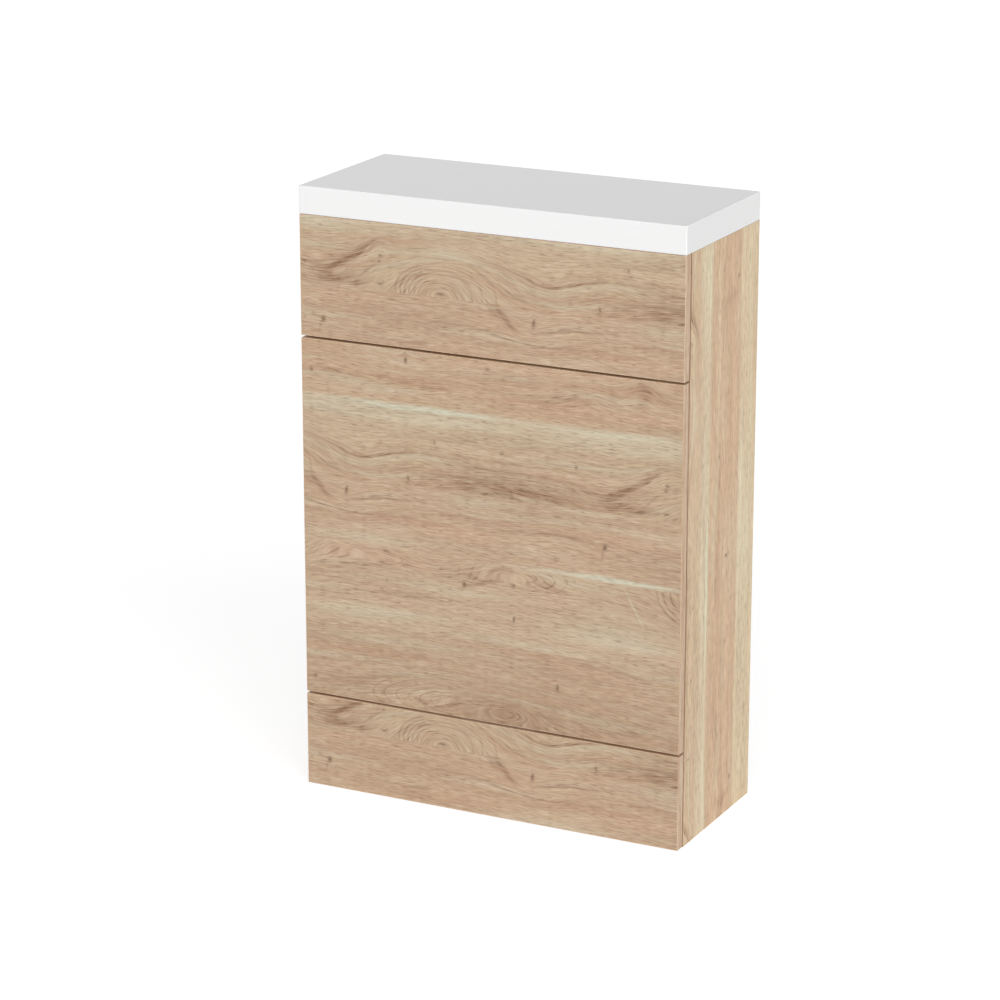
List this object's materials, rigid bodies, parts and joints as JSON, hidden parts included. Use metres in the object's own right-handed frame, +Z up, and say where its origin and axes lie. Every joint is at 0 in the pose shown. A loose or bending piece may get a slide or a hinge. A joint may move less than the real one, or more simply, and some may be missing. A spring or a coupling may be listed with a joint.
{
  "type": "toilet furniture unit",
  "caption": "Floor-standing back-to-wall toilet furniture unit: an open-backed oak-faced carcass for a concealed cistern, with pull-off fascia panels and a lift-off gloss white worktop.",
  "frame": {"origin": "on the floor, at the middle of the unit's width and of its depth", "axes": "+X to the right seen from the front, +Y from the front to the wall, +Z up"},
  "size_m": [0.601, 0.255, 0.905],
  "materials": {
    "oak_board": "matte",
    "oak_fascia": "matte",
    "oak_edging": "matte",
    "rail_board": "matte",
    "white_cast_resin": "gloss",
    "block_wood": "matte",
    "beech": "matte",
    "plated_steel": "satin",
    "cast_zinc": "satin",
    "bracket_steel": "satin",
    "white_nylon": "satin",
    "buffer_rubber": "matte"
  },
  "bodies": {
    "carcass": {"left_side_panel": "oak_board", "right_side_panel": "oak_board", "left_side_edging": "oak_edging", "right_side_edging": "oak_edging", "top_front_rail": "rail_board", "upper_fascia_rail": "rail_board", "lower_fascia_rail": "rail_board", "top_back_rail": "rail_board", "bottom_back_rail": "rail_board", "middle_panel": "oak_fascia", "middle_panel_edging": "oak_edging", "dowels": "beech", "cam_bolts": "plated_steel", "cam_locks": "cast_zinc", "access_clip_sockets": "white_nylon", "plinth_clip_sockets": "white_nylon", "panel_buffers": "buffer_rubber", "fascia_screws": "plated_steel", "fascia_brackets": "bracket_steel", "fascia_bracket_screws": "plated_steel", "wall_brackets": "bracket_steel", "wall_bracket_screws": "plated_steel"},
    "access_front": {"access_panel": "oak_fascia", "access_panel_edging": "oak_edging", "access_clip_studs": "white_nylon"},
    "plinth_front": {"plinth_panel": "oak_fascia", "plinth_panel_edging": "oak_edging", "plinth_clip_studs": "white_nylon"},
    "lift_off_top": {"worktop": "white_cast_resin", "worktop_blocks": "block_wood"}
  },
  "joints": [
    {"name": "access_panel_pull", "type": "slide", "parent": "carcass", "child": "access_front", "axis": [0, -1, 0], "range_m": [0, 0.06]},
    {"name": "plinth_panel_pull", "type": "slide", "parent": "carcass", "child": "plinth_front", "axis": [0, -1, 0], "range_m": [0, 0.06]},
    {"name": "worktop_lift", "type": "slide", "parent": "carcass", "child": "lift_off_top", "axis": [0, 0, 1], "range_m": [0, 0.06]}
  ]
}
